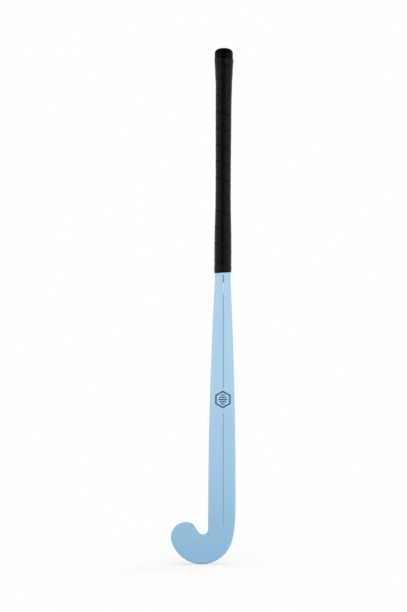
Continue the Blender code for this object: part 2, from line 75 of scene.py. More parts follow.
def new_material(name, **sockets):
    """A material whose shader has these plain values, and that shader."""
    material = bpy.data.materials.new(name)
    material.use_nodes = True
    shader = material.node_tree.nodes["Principled BSDF"]
    for socket, value in sockets.items():
        shader.inputs[socket.replace("_", " ")].default_value = value
    return material, shader


def join(material, output, socket):
    """Leads an output into a socket of the material's shader."""
    material.node_tree.links.new(output, socket)


def ramp(owner, factor, stops):
    """A colour ramp through (place, colour) stops."""
    made = add(owner, "ShaderNodeValToRGB", {"Fac": factor})
    elements = made.color_ramp.elements
    while len(elements) < len(stops):
        elements.new(1)
    for element, (place, colour) in zip(elements, stops):
        element.position = place
        element.color = colour
    return made.outputs["Color"]


def places(owner, scale=(1, 1, 1)):
    """Points of the object in metres, times a scale for each axis."""
    point = add(owner, "ShaderNodeTexCoord").outputs["Object"]
    return add(owner, "ShaderNodeMapping", {"Vector": point, "Scale": scale}).outputs["Vector"]


def cloud(owner, vector, scale=1.0, detail=4.0, roughness=0.55):
    """Soft noise from 0 to 1."""
    inputs = {"Vector": vector, "Scale": scale, "Detail": detail, "Roughness": roughness}
    return add(owner, "ShaderNodeTexNoise", inputs).outputs["Fac"]


def product(owner, one, two):
    """Two colours multiplied."""
    inputs = {"Factor": 1.0, "A": one, "B": two}
    return add(owner, "ShaderNodeMix", inputs, data_type="RGBA", blend_type="MULTIPLY").outputs["Result"]


def relief(owner, height, depth, strength, under=None):
    """Bump of a given depth in metres, over another bump if there is one."""
    inputs = {"Height": height, "Distance": depth, "Strength": strength}
    if under:
        inputs["Normal"] = under
    return add(owner, "ShaderNodeBump", inputs).outputs["Normal"]


def fibrous(name, dark, light, across, lengthwise, pores):
    """Wood or cane: long fibres in two tones, with fine dark pores. The last three are per metre."""
    material, shader = new_material(name, Roughness=0.62)
    fibres = cloud(material, places(material, (across, across, lengthwise)), detail=6)
    tone = ramp(material, fibres, ((0.3, dark), (0.7, light)))
    pits = cloud(material, places(material, (pores, pores, lengthwise * 2)), detail=2)
    pit_tone = ramp(material, pits, ((0.34, (0.45, 0.45, 0.45, 1)), (0.44, (1, 1, 1, 1))))
    join(material, product(material, tone, pit_tone), shader.inputs["Base Color"])
    join(material, relief(material, fibres, 0.0002, 0.5), shader.inputs["Normal"])
    return material


def dress(node, material):
    """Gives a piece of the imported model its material."""
    for slot in frame["nodes"][node].material_slots:
        slot.material = material


PLY_COUNT = 8
mulberry = fibrous(
    "mulberry", linear(176, 128, 74), linear(222, 184, 128), across=900, lengthwise=22, pores=2600
)
for number in range(1, PLY_COUNT + 1):
    dress(f"mulberry_ply_{number}", mulberry)


# Spliced handle
# Three split canes are let into the plies with a long V, and two strips of sheet rubber lie between
# them to dull the sting of a hit. Twine is wound close over the splice and the handle, set in glue.

TWINE_THICKNESS = 0.0009


def rubber_sheet():
    """Black rubber with a fine dull grain."""
    material, shader = new_material("strip_rubber", Roughness=0.78)
    grain = cloud(material, places(material, (1500, 1500, 1500)), detail=3)
    tone = ramp(material, grain, ((0.35, linear(44, 38, 34)), (0.65, linear(66, 58, 52))))
    join(material, tone, shader.inputs["Base Color"])
    join(material, relief(material, grain, 0.0001, 0.4), shader.inputs["Normal"])
    return material


def bands(owner, vector, pitch, direction, distortion=0.0):
    """Waves about a pitch apart. At a scale of 1 the texture has one every pi / 10 metres."""
    inputs = {"Vector": vector, "Scale": math.pi / 10 / pitch, "Distortion": distortion}
    return add(owner, "ShaderNodeTexWave", inputs, bands_direction=direction).outputs["Fac"]


def waxed_twine():
    """Turns of twine lying side by side, darker where the glue fills between them."""
    material, shader = new_material("waxed_twine", Roughness=0.7)
    turns = bands(material, places(material), TWINE_THICKNESS, "Z", distortion=0.4)
    tone = ramp(material, turns, ((0, linear(128, 104, 66)), (0.5, linear(206, 196, 168))))
    join(material, tone, shader.inputs["Base Color"])
    join(material, relief(material, turns, 0.0004, 0.8), shader.inputs["Normal"])
    return material


cane = fibrous(
    "cane", linear(160, 118, 66), linear(210, 176, 118), across=1500, lengthwise=9, pores=3500
)
for node in ("cane_left", "cane_middle", "cane_right"):
    dress(node, cane)
strip_rubber = rubber_sheet()
for node in ("rubber_strip_left", "rubber_strip_right"):
    dress(node, strip_rubber)
dress("handle_binding", waxed_twine())


# Face and back laminates
# Strips of unwoven glass in clear resin, one along the flat face and one along the back, between
# the wood and the skin. They stiffen the stick, and show the glass as pale green streaks.


def unwoven_glass():
    """Long straight strands in a greenish resin."""
    material, shader = new_material("glass_laminate", Roughness=0.35, Coat_Weight=0.4)
    strands = cloud(material, places(material, (2200, 2200, 6)), detail=3)
    tone = ramp(material, strands, ((0.3, linear(150, 162, 140)), (0.7, linear(208, 214, 196))))
    join(material, tone, shader.inputs["Base Color"])
    join(material, relief(material, strands, 0.0001, 0.3), shader.inputs["Normal"])
    return material


glass_laminate = unwoven_glass()
for node in ("face_laminate", "back_laminate"):
    dress(node, glass_laminate)


# Painted skin
# A woven glass sleeve in resin over the whole body, sanded and painted a pale blue under a satin lacquer.
# Its blue grows deeper and darker towards the hook: partly the paint's own tone, partly painted shade
# for the lower stick getting less light. Its face is flat, its back domed and its edges rounded.

STICK_LENGTH = 0.927
GRIP_BOTTOM = 0.5232

# Outline of the hook, as arcs that touch each other
HOOK_WIDTH = 0.116
TOE_RADIUS = 0.0272
TOE_HEIGHT = 0.0476
SHOULDER_RADIUS = 0.0046
SHOULDER_CUT = 0.0033
HEEL_RADIUS = 0.25
HEEL_TOP = 0.0945
THROAT_HEIGHT = 0.0623
HOOK_SLOPE = math.radians(56.6)

# Shaft, tapering to the neck, and its section, which turns from a domed to an oval one
SHAFT_WIDTH = 0.0492
NECK_WIDTH = 0.0287
TAPER_START = 0.131
TAPER_END = 0.51
TAPER_POWER = 1.8
BOW_START = 0.13
BOW_END = 0.39
EDGE_RADIUS = 0.0045
TOE_ROLL = 0.015
DOME_POWER = 2.4
OVAL_START = 0.24
OVAL_RATIO = 0.94
HOOK_DEPTH = 0.019
SHAFT_DEPTH = 0.022
SHAFT_DEPTH_HEIGHT = 0.31
NECK_DEPTH = NECK_WIDTH * OVAL_RATIO
SKIN_WALL = 0.0012
CLOTH_PITCH = 0.0011

# Handle under the grip, stepped in where the paint ends under the finishing tape
COLLAR_HEIGHT = 0.016
COLLAR_LAP = 0.002
REBATE_STEP = 0.0012
PAINT_TOP = GRIP_BOTTOM + COLLAR_LAP
HANDLE_FOOT = GRIP_BOTTOM + COLLAR_HEIGHT
HANDLE_LOW = 0.565
HANDLE_WAIST = 0.67
HANDLE_END = 0.86
HANDLE_TOP = 0.919
HANDLE_END_WIDTH = 0.0245
HANDLE_WIDTHS = (
    (HANDLE_FOOT, 0.0249),
    (HANDLE_LOW, 0.0266),
    (HANDLE_WAIST, 0.0233),
    (HANDLE_END, HANDLE_END_WIDTH),
)

# Fineness of the mesh
ARC_STEP = math.radians(1)
FAN_STEPS = 48
TIP_STEPS = 20
HEIGHT_STEP = 0.004
SKIN_COLUMNS = 24
HALVINGS = 50
SHARE_SLACK = 1e-6
SHARP_ANGLE = math.radians(45)

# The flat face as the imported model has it, and the handle's slope after an even bend
mounts = {mount["name"]: mount for mount in frame["record"]["mounts"]}
face_point = Vector(mounts["playing_face"]["pos_m"])
face_normal = Vector(mounts["playing_face"]["axis"])
FACE_SLOPE = -face_normal.z / face_normal.y
FACE_FOOT = face_point.y - FACE_SLOPE * face_point.z
HALF_BEND = (BOW_END - BOW_START) / 2
HANDLE_SLOPE = FACE_SLOPE * (BOW_START + HALF_BEND) / (HALF_BEND + STICK_LENGTH - BOW_END)


def moved(point, direction, distance):
    """The point moved along a direction, both as (x, z)."""
    return (point[0] + direction[0] * distance, point[1] + direction[1] * distance)


def sole_middle(radius):
    """The x of the sole arc's centre, for a radius at which it touches the ground and the heel's arc."""
    across = (HEEL_RADIUS - radius) ** 2 - (HEEL_TOP - radius) ** 2
    return HEEL_CENTRE[0] + math.sqrt(across)


def sole_radius():
    """The radius at which the sole's arc touches the toe's arc too, found by halving."""
    least = TOE_HEIGHT
    most = HEEL_TOP
    for _ in range(HALVINGS):
        radius = (least + most) / 2
        apart = math.hypot(sole_middle(radius) - TOE_CENTRE[0], radius - TOE_HEIGHT)
        if apart > radius - TOE_RADIUS:
            least = radius
        else:
            most = radius
    return radius


def throat_radius():
    """The radius at which the throat's arc touches both the shaft and the hook's straight inner edge."""
    across = (TOE_CENTRE[0] - SHAFT_LEFT) * INTO[0] + (TOE_HEIGHT - THROAT_HEIGHT) * INTO[1]
    return (across - TOE_RADIUS + SHOULDER_CUT) / (1 - INTO[0])


# Places on the outline, as (x, z)
SHAFT_AXIS = (HOOK_WIDTH - SHAFT_WIDTH) / 2
SHAFT_LEFT = HOOK_WIDTH / 2 - SHAFT_WIDTH
RISE = (-math.cos(HOOK_SLOPE), math.sin(HOOK_SLOPE))
INTO = (-math.sin(HOOK_SLOPE), -math.cos(HOOK_SLOPE))
HEEL_CENTRE = (HOOK_WIDTH / 2 - HEEL_RADIUS, HEEL_TOP)
TOE_CENTRE = (TOE_RADIUS - HOOK_WIDTH / 2, TOE_HEIGHT)
SOLE_RADIUS = sole_radius()
SOLE_CENTRE = (sole_middle(SOLE_RADIUS), SOLE_RADIUS)
THROAT_RADIUS = throat_radius()
THROAT_CENTRE = (SHAFT_LEFT - THROAT_RADIUS, THROAT_HEIGHT)
THROAT_END = moved(THROAT_CENTRE, INTO, THROAT_RADIUS)
THROAT_TURN = math.pi / 2 + HOOK_SLOPE

# A line across the body: its start and direction, where it enters and leaves, and its depth from the tip
Station = namedtuple("Station", "origin direction low high tip")


def eased(share):
    """A share from 0 to 1 that starts and ends gently."""
    return share * share * (3 - 2 * share)


def along(keys, height):
    """A size that passes smoothly through (height, size) pairs."""
    if height <= keys[0][0]:
        return keys[0][1]
    for (low, first), (high, second) in zip(keys, keys[1:]):
        if height <= high:
            return first + (second - first) * eased((height - low) / (high - low))
    return keys[-1][1]


def face_line(height):
    """The y of the flat face: straight, then bent back towards the butt."""
    bend = min(max(height, BOW_START), BOW_END) - BOW_START
    start = min(height, BOW_START)
    rise = FACE_SLOPE * (start + bend) - (FACE_SLOPE + HANDLE_SLOPE) * bend**2 / (4 * HALF_BEND)
    return FACE_FOOT + rise - HANDLE_SLOPE * max(0, height - BOW_END)


def body_width(height):
    """Width of the shaft as it tapers to the neck, and of the handle under the grip."""
    if height <= PAINT_TOP:
        share = min(1, max(0, height - TAPER_START) / (TAPER_END - TAPER_START))
        return NECK_WIDTH + (SHAFT_WIDTH - NECK_WIDTH) * (1 - share**TAPER_POWER)
    return along(HANDLE_WIDTHS, height)


def body_depth(height):
    """Depth from the flat face to the back."""
    if height > TAPER_END:
        return body_width(height) * OVAL_RATIO
    return along(((0, HOOK_DEPTH), (SHAFT_DEPTH_HEIGHT, SHAFT_DEPTH), (TAPER_END, NECK_DEPTH)), height)


def middle_line(height):
    """The y of the handle's axis."""
    return face_line(height) + NECK_DEPTH / 2


def arc(centre, radius, start, end):
    """Points (x, z) along an arc."""
    steps = max(1, round(abs(end - start) / ARC_STEP))
    angles = [start + (end - start) * step / steps for step in range(steps + 1)]
    return [moved(centre, (math.cos(angle), math.sin(angle)), radius) for angle in angles]


def shoulder_centre():
    """Centre of the small arc between the hook's straight inner edge and the toe's arc."""
    start = moved(THROAT_END, INTO, SHOULDER_RADIUS)
    across = (start[0] - TOE_CENTRE[0], start[1] - TOE_CENTRE[1])
    ahead = across[0] * RISE[0] + across[1] * RISE[1]
    reach = TOE_RADIUS - SHOULDER_RADIUS
    return moved(start, RISE, math.sqrt(ahead**2 - across[0] ** 2 - across[1] ** 2 + reach**2) - ahead)


def joint_angle(inner, outer):
    """The angle at which the arc about the inner centre touches the one about the outer centre."""
    return math.atan2(inner[1] - outer[1], inner[0] - outer[0])


def hook_outline(inset):
    """The closed outline (x, z) of the hook and the foot of the shaft, moved in by an inset."""
    shoulder = shoulder_centre()
    toe_start = joint_angle(shoulder, TOE_CENTRE)
    toe_end = joint_angle(TOE_CENTRE, SOLE_CENTRE) % math.tau
    heel_start = joint_angle(SOLE_CENTRE, HEEL_CENTRE)
    top = HEEL_TOP + SHAFT_WIDTH
    outline = arc(THROAT_CENTRE, THROAT_RADIUS + inset, 0, -THROAT_TURN)
    outline += arc(shoulder, SHOULDER_RADIUS - inset, math.pi / 2 - HOOK_SLOPE, toe_start)
    outline += arc(TOE_CENTRE, TOE_RADIUS - inset, toe_start, toe_end)
    outline += arc(SOLE_CENTRE, SOLE_RADIUS - inset, toe_end, math.tau + heel_start)
    outline += arc(HEEL_CENTRE, HEEL_RADIUS - inset, heel_start, 0)
    return outline + [(HOOK_WIDTH / 2 - inset, top), (SHAFT_LEFT + inset, top)]


def crossings(outline, origin, direction):
    """How far along a line, which starts at the throat, the outline is entered and left."""
    found = []
    for start, end in zip(outline, outline[1:] + outline[:1]):
        edge = (end[0] - start[0], end[1] - start[1])
        away = (start[0] - origin[0], start[1] - origin[1])
        turn = direction[0] * edge[1] - direction[1] * edge[0]
        if turn == 0:
            continue
        share = (away[0] * direction[1] - away[1] * direction[0]) / turn
        distance = (away[0] * edge[1] - away[1] * edge[0]) / turn
        if -SHARE_SLACK <= share <= 1 + SHARE_SLACK and distance > -THROAT_RADIUS / 2:
            found.append(distance)
    return min(found), max(found)


def levels(low, high):
    """Heights from low to high, about a step apart."""
    steps = round((high - low) / HEIGHT_STEP)
    return [low + (high - low) * step / steps for step in range(steps + 1)]


def hook_stations(inset):
    """Lines across the hook from the toe's tip, round the throat, to the foot of the straight shaft."""
    shoulder_reach = sum((a - b) * c for a, b, c in zip(shoulder_centre(), THROAT_END, RISE))
    toe_reach = sum((a - b) * c for a, b, c in zip(TOE_CENTRE, THROAT_END, RISE))
    tip_reach = toe_reach + TOE_RADIUS - inset
    tips = [(tip_reach - shoulder_reach) * (step / TIP_STEPS) ** 2 for step in range(1, TIP_STEPS + 1)]
    straight_steps = round(shoulder_reach / HEIGHT_STEP)
    tips += [tip_reach - shoulder_reach * (1 - step / straight_steps) for step in range(1, straight_steps)]
    lines = [(moved(THROAT_END, RISE, tip_reach - tip), INTO, tip) for tip in tips]
    for step in range(FAN_STEPS + 1):
        angle = THROAT_TURN * (step / FAN_STEPS - 1)
        direction = (math.cos(angle), math.sin(angle))
        lines.append((moved(THROAT_CENTRE, direction, THROAT_RADIUS), direction, math.inf))
    for height in levels(THROAT_HEIGHT, HEEL_TOP)[1:-1]:
        lines.append(((SHAFT_LEFT, height), (1, 0), math.inf))
    outline = hook_outline(inset)
    return [Station(origin, way, *crossings(outline, origin, way), tip) for origin, way, tip in lines]


def shaft_station(height, inset):
    """A level line across the shaft or the handle."""
    axis = SHAFT_AXIS - SHAFT_LEFT
    half = body_width(height) / 2 - inset
    return Station((SHAFT_LEFT, height), (1, 0), axis - half, axis + half, math.inf)


def depths(station, across, inset):
    """The front and back y of the body, moved in by an inset, at a distance across a station."""
    middle = (station.low + station.high) / 2
    half = (station.high - station.low) / 2
    level = moved(station.origin, station.direction, middle)[1]
    height = moved(station.origin, station.direction, across)[1]
    oval = along(((OVAL_START, 0), (TAPER_END, 1)), level)
    plane = EDGE_RADIUS + (NECK_DEPTH / 2 - EDGE_RADIUS) * oval
    depth = body_depth(level)
    front_depth = min(plane, depth / 2)
    edge_width = min(half, (EDGE_RADIUS - inset) * (1 - oval) + half * oval)
    edge_depth = front_depth - inset
    power = DOME_POWER + (2 - DOME_POWER) * oval
    off = min(half, abs(across - middle))
    rounded = max(0, off - half + edge_width) / edge_width
    front = edge_depth * math.sqrt(1 - rounded**2)
    back = (depth - front_depth - inset) * (1 - (off / half) ** power) ** (1 / power)
    if station.tip < edge_depth:
        front *= math.sqrt(1 - (1 - station.tip / edge_depth) ** 2)
    if station.tip < TOE_ROLL:
        back *= (1 - (1 - station.tip / TOE_ROLL) ** DOME_POWER) ** (1 / DOME_POWER)
    return face_line(height) + plane - front, face_line(height) + plane + back


def skin_ring(station, inset):
    """The section of the body: along its front from left to right, then back along its domed back."""
    front = []
    back = []
    for column in range(SKIN_COLUMNS + 1):
        share = (1 - math.cos(math.pi * column / SKIN_COLUMNS)) / 2
        across = station.low + (station.high - station.low) * share
        x, z = moved(station.origin, station.direction, across)
        front_y, back_y = depths(station, across, inset)
        front.append((x, front_y, z))
        back.append((x, back_y, z))
    return front + back[-2:0:-1]


def skin_rings(inset):
    """Sections from the toe's tip to the butt, moved in by an inset."""
    heights = levels(HEEL_TOP, PAINT_TOP) + levels(PAINT_TOP + REBATE_STEP, HANDLE_TOP)
    stations = hook_stations(inset) + [shaft_station(height, inset) for height in heights]
    return [skin_ring(station, inset) for station in stations]


def loft(name, rings, endless=False):
    """A closed body through rings of as many points each, its ends filled or joined to each other."""
    shape = bmesh.new()
    rows = [[shape.verts.new(point) for point in ring] for ring in rings]
    pairs = list(zip(rows, rows[1:]))
    if endless:
        pairs.append((rows[-1], rows[0]))
    else:
        shape.faces.new(rows[0])
        shape.faces.new(rows[-1])
    for first, second in pairs:
        for at in range(len(first)):
            after = (at + 1) % len(first)
            shape.faces.new((first[at], first[after], second[after], second[at]))
    bmesh.ops.recalc_face_normals(shape, faces=shape.faces)
    return finished(name, shape)


def finished(name, shape):
    """A smooth piece of the stick from a bmesh, riding on it."""
    mesh = bpy.data.meshes.new(name)
    shape.to_mesh(mesh)
    shape.free()
    mesh.shade_smooth()
    mesh.set_sharp_from_angle(angle=SHARP_ANGLE)
    piece = bpy.data.objects.new(name, mesh)
    bpy.context.scene.collection.objects.link(piece)
    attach(piece, "root")
    return piece


def blue_lacquer():
    """Pale blue paint, deeper and darker down the stick (partly its own tone, partly painted shade), with
    the cloth just felt under the lacquer.
    """
    neck_blue = linear(172, 208, 233)
    shaft_blue = linear(163, 202, 229)
    shaded_foot_blue = linear(150, 192, 222)
    shaded_hook_blue = linear(138, 183, 216)
    material, shader = new_material("blue_paint", Coat_Weight=0.3, Coat_Roughness=0.2)
    point = places(material)
    height = add(material, "ShaderNodeSeparateXYZ", {"Vector": point}).outputs["Z"]
    limits = {"Value": height, "From Max": GRIP_BOTTOM}
    share = add(material, "ShaderNodeMapRange", limits).outputs["Result"]
    # Painted shade: the blues darken towards the hook, partly the paint's own tone and partly shade
    # painted in for less light low down.
    stops = ((0.02, shaded_hook_blue), (0.2, shaded_foot_blue), (0.4, shaft_blue), (0.65, neck_blue))
    tone = ramp(material, share, stops)
    drift = cloud(material, point, scale=18, detail=3)
    drift_tone = ramp(material, drift, ((0.3, (0.965, 0.97, 0.98, 1)), (0.7, (1, 1, 1, 1))))
    join(material, product(material, tone, drift_tone), shader.inputs["Base Color"])
    satin = cloud(material, point, scale=60, detail=4)
    gloss = add(material, "ShaderNodeMapRange", {"Value": satin, "To Min": 0.36, "To Max": 0.48})
    join(material, gloss.outputs["Result"], shader.inputs["Roughness"])
    felt = relief(material, bands(material, point, CLOTH_PITCH, "DIAGONAL"), 0.00001, 0.25)
    peel = relief(material, cloud(material, point, scale=700, detail=2), 0.00002, 0.3, under=felt)
    join(material, peel, shader.inputs["Normal"])
    return material


painted_skin = loft("painted_skin", skin_rings(0) + skin_rings(SKIN_WALL)[::-1])
painted_skin.data.materials.append(blue_lacquer())
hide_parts("glass_fibre_skin")


# Printing on the face
# Thin films of ink laid on the paint: a fine line down the shaft, broken by a plain six-sided badge,
# and two short bars under the grip. They follow the face, and stand a few hundredths proud of it.

INK_PROUD = 0.00004
INK_SUNK = 0.00006
LINE_X = 0.0352
LINE_SLANT = 0.0044
LINE_WIDTH = 0.0014
PALE_WIDTH = 0.0021
UPPER_LINE = (0.3155, 0.4845)
LOWER_LINE = (0.0695, 0.2705)
BADGE_CENTRE = (0.0346, 0.2951)
BADGE_SIDES = 6
BADGE_RADIUS = 0.016
BADGE_STROKE = 0.0031
BADGE_BARS = (0.0066, 0.0124, 0.0158, 0.0124, 0.0066)
BAR_HEIGHT = 0.0022
BAR_PITCH = 0.004
DARK_BAR = (0.5058, 0.518)
PALE_BAR = (0.4905, 0.5035)
PRINT_STEP = 0.004
INK_UNEVENNESS = 4


def face_point_at(x, z, lift):
    """A point on the flat face, or off it by a lift."""
    return (x, depths(shaft_station(z, 0), x - SHAFT_LEFT, 0)[0] - lift, z)


def inked(name, columns, material):
    """A film between pairs of (x, z) points, one pair for each step along it."""
    rings = []
    for left, right in columns:
        outer = [face_point_at(*left, INK_PROUD), face_point_at(*right, INK_PROUD)]
        rings.append(outer + [face_point_at(*right, -INK_SUNK), face_point_at(*left, -INK_SUNK)])
    piece = loft(name, rings)
    piece.data.materials.append(material)
    return piece


def upright_film(name, width, low, high, material):
    """A narrow bar of ink on the line, which drifts a little towards the toe as it rises."""
    steps = max(1, round((high - low) / PRINT_STEP))
    columns = []
    for step in range(steps + 1):
        z = low + (high - low) * step / steps
        x = LINE_X - LINE_SLANT * (z - BADGE_CENTRE[1])
        columns.append(((x - width / 2, z), (x + width / 2, z)))
    return inked(name, columns, material)


def ink(name, colour):
    """Printing ink of an 8-bit colour, a little uneven, under the same lacquer as the paint."""
    material, shader = new_material(name, Roughness=0.42, Coat_Weight=0.3, Coat_Roughness=0.2)
    patches = cloud(material, places(material, (900, 900, 900)), detail=3)
    dark = linear(*(part - INK_UNEVENNESS for part in colour))
    light = linear(*(part + INK_UNEVENNESS for part in colour))
    tone = ramp(material, patches, ((0.35, dark), (0.65, light)))
    join(material, tone, shader.inputs["Base Color"])
    join(material, relief(material, patches, 0.00001, 0.2), shader.inputs["Normal"])
    return material


def badge(material):
    """A six-sided ring with five level bars in it."""
    ring = []
    for side in range(BADGE_SIDES + 1):
        corner = math.tau * (side + 0.5) / BADGE_SIDES
        way = (math.cos(corner), math.sin(corner))
        outer = moved(BADGE_CENTRE, way, BADGE_RADIUS)
        ring.append((outer, moved(BADGE_CENTRE, way, BADGE_RADIUS - BADGE_STROKE)))
    for side in range(BADGE_SIDES):
        inked(f"badge_side_{side + 1}", ring[side : side + 2], material)
    for number, width in enumerate(BADGE_BARS):
        z = BADGE_CENTRE[1] + (number - (len(BADGE_BARS) - 1) / 2) * BAR_PITCH
        low = z - BAR_HEIGHT / 2
        high = z + BAR_HEIGHT / 2
        left = BADGE_CENTRE[0] - width / 2
        right = BADGE_CENTRE[0] + width / 2
        columns = [((left, low), (left, high)), ((right, low), (right, high))]
        inked(f"badge_bar_{number + 1}", columns, material)


line_ink = ink("line_ink", (122, 159, 190))
badge_ink = ink("badge_ink", (60, 90, 116))
upright_film("face_line_upper", LINE_WIDTH, *UPPER_LINE, line_ink)
upright_film("face_line_lower", LINE_WIDTH, *LOWER_LINE, line_ink)
upright_film("neck_bar_dark", LINE_WIDTH, *DARK_BAR, badge_ink)
upright_film("neck_bar_pale", PALE_WIDTH, *PALE_BAR, ink("pale_ink", (196, 222, 232)))
badge(badge_ink)


# End cap
# Moulded black rubber: a crown and a rounded lip over the butt, with a sleeve that goes down over
# the handle under the grip. It is pushed on and held by the first turns of the grip.

CAP_LIP_WIDTH = 0.033
CAP_LIP_HEIGHT = 0.0186
CAP_LIP_EDGE = 0.0008
CAP_DOME_REACH = 0.0135
CAP_DOME_DROP = 0.0095
CAP_CROWN = 0.0077
CAP_BORE = 0.0251
CAP_SLEEVE_LENGTH = 0.024
CAP_SLEEVE_TOP_WIDTH = 0.0294
CAP_SLEEVE_FOOT_WIDTH = 0.0269
LIP_FOOT = STICK_LENGTH - CAP_LIP_HEIGHT
SLEEVE_FOOT = LIP_FOOT - CAP_SLEEVE_LENGTH
CAP_SIDES = 96
CAP_SLEEVE_STEPS = 8
CAP_EDGE_STEPS = 4
CAP_DOME_STEPS = 24


def narrowing(width):
    """How much less than half its width the half depth of the handle is."""
    return width * (1 - OVAL_RATIO) / 2


def oval_ring(height, width, narrowed, sides, slant=0.0):
    """An oval about the handle's axis, narrowed in its half depth, and level or tipped up towards +X."""
    points = []
    for side in range(sides):
        angle = math.tau * side / sides
        x = SHAFT_AXIS + width / 2 * math.cos(angle)
        z = height + (x - SHAFT_AXIS) * math.tan(slant)
        points.append((x, middle_line(z) + (width / 2 - narrowed) * math.sin(angle), z))
    return points


def cap_profile():
    """(height, width) pairs from the bore's top, down inside the sleeve, and up outside to the crown."""
    profile = [(STICK_LENGTH - CAP_CROWN, CAP_BORE), (SLEEVE_FOOT, CAP_BORE)]
    for step in range(CAP_SLEEVE_STEPS + 1):
        share = step / CAP_SLEEVE_STEPS
        width = CAP_SLEEVE_FOOT_WIDTH + (CAP_SLEEVE_TOP_WIDTH - CAP_SLEEVE_FOOT_WIDTH) * eased(share)
        profile.append((SLEEVE_FOOT + CAP_SLEEVE_LENGTH * share, width))
    for step in range(CAP_EDGE_STEPS + 1):
        angle = math.pi / 2 * step / CAP_EDGE_STEPS
        height = LIP_FOOT + CAP_LIP_EDGE * (1 - math.cos(angle))
        profile.append((height, CAP_LIP_WIDTH - 2 * CAP_LIP_EDGE * (1 - math.sin(angle))))
    for step in range(CAP_DOME_STEPS + 1):
        angle = math.pi / 2 * step / CAP_DOME_STEPS
        height = STICK_LENGTH - CAP_DOME_DROP * (1 - math.sin(angle))
        profile.append((height, CAP_LIP_WIDTH - 2 * CAP_DOME_REACH * (1 - math.cos(angle))))
    return profile


def moulded_rubber():
    """Smooth black rubber with a faint bloom and a fine mould texture."""
    material, shader = new_material(
        "cap_rubber", Roughness=0.27, Specular_IOR_Level=0.1, Specular_Tint=(0.9, 0.87, 1, 1)
    )
    point = places(material)
    bloom = cloud(material, point, scale=120, detail=4)
    tone = ramp(material, bloom, ((0.35, linear(0, 0, 4)), (0.7, linear(3, 1, 10))))
    join(material, tone, shader.inputs["Base Color"])
    grain = cloud(material, point, scale=2200, detail=2)
    join(material, relief(material, grain, 0.00004, 0.35), shader.inputs["Normal"])
    return material


cap_narrowed = narrowing(HANDLE_END_WIDTH)
cap_rings = [oval_ring(height, width, cap_narrowed, CAP_SIDES) for height, width in cap_profile()]
rubber_cap = loft("rubber_cap", cap_rings)
rubber_cap.data.materials.append(moulded_rubber())
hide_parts("end_cap")


# Wound grip
# One soft tape wound down from the cap, each turn lapping the thinned edge of the turn above. It was
# pulled tight by hand, so its edges wander a little. The skin is soft and black, with a fine grain.

# The winding, and how much of the tape's width is left at its two cut ends
CAP_GAP = 0.0003
GRIP_TOP = LIP_FOOT - CAP_GAP
TAPE_BOTTOM = 0.5267
TAPE_PITCH = 0.0296
TAPE_LAP = 0.005
TAPE_GROOVE = 0.0005
TAPE_START = 0.0015
TAPE_END = 0.003
TAPE_START_ANGLE = math.radians(157)
TAPE_STEPS = 72

# Across the tape: its width, the top of its skived lower edge, and the foot of its lapping upper edge
TAPE_WIDTH = TAPE_PITCH + TAPE_LAP
TAPE_SHOULDER = TAPE_PITCH - TAPE_GROOVE
TAPE_FLAP = TAPE_LAP + TAPE_GROOVE

# Heights off what the tape is wound on
TAPE_UNDER = 0.0003
TAPE_SKIVED = 0.00075
TAPE_BODY = 0.0022
TAPE_FLAP_FOOT = 0.0012
TAPE_FLAP_TOP = 0.0026

# Relief of the laps: the flap's rounded edge and slope, and how the tape thins above its shoulder
TAPE_EDGE = 0.0006
TAPE_EDGE_STEPS = 3
TAPE_RAMP = 0.005
TAPE_DIP = 0.0005
TAPE_THINNED = 0.006

# How the hand-wound tape wanders, bulges above the finishing tape and bunches under the cap
TAPE_WANDER = 0.0003
WANDER_RATE = 2.3
WANDER_SEED = 0.5
TAPE_SWELL = 0.00085
TAPE_BUNCH = 0.0007
TAPE_BUNCH_FOOT = 0.825
SQUEEZE_END = 0.003

# How much of the relief the uneven pull on the tape leaves, at some heights
PULL_UNEVENNESS = 0.2
PULL_RATE = 1.3
PULL_SEED = 7.5
SLACK_HEIGHT = 0.7
RELIEF_SHARES = (
    (HANDLE_FOOT, 0.2),
    (HANDLE_LOW, 0.5),
    (SLACK_HEIGHT, 0.7),
    (TAPE_BUNCH_FOOT, 0.6),
    (HANDLE_END, 0.3),
)


def wound_width(height):
    """Width of what the tape is wound on: the handle, and the cap's sleeve near the butt."""
    if height <= HANDLE_END:
        return body_width(height)
    keys = (
        (HANDLE_END, HANDLE_END_WIDTH),
        (SLEEVE_FOOT, CAP_SLEEVE_FOOT_WIDTH),
        (LIP_FOOT, CAP_SLEEVE_TOP_WIDTH),
    )
    return along(keys, height)


def squeezed(height, angle):
    """How much the soft tape bulges above the finishing tape, and bunches on one side under the cap."""
    bulge = along(((HANDLE_FOOT - SQUEEZE_END, 0), (HANDLE_FOOT, TAPE_SWELL), (HANDLE_LOW, 0)), height)
    keys = (
        (TAPE_BUNCH_FOOT, 0),
        (HANDLE_END, TAPE_BUNCH),
        (GRIP_TOP - SQUEEZE_END, TAPE_BUNCH),
        (GRIP_TOP, 0),
    )
    return bulge + along(keys, height) * max(0, math.cos(angle)) ** 2


def pressed(height, turn):
    """How much of the laps' relief shows: the tape was drawn tighter at both ends, and not evenly."""
    pull = noise.noise(Vector((turn * PULL_RATE, PULL_SEED, 0)))
    return along(RELIEF_SHARES, height) * (1 - PULL_UNEVENNESS + PULL_UNEVENNESS * pull)


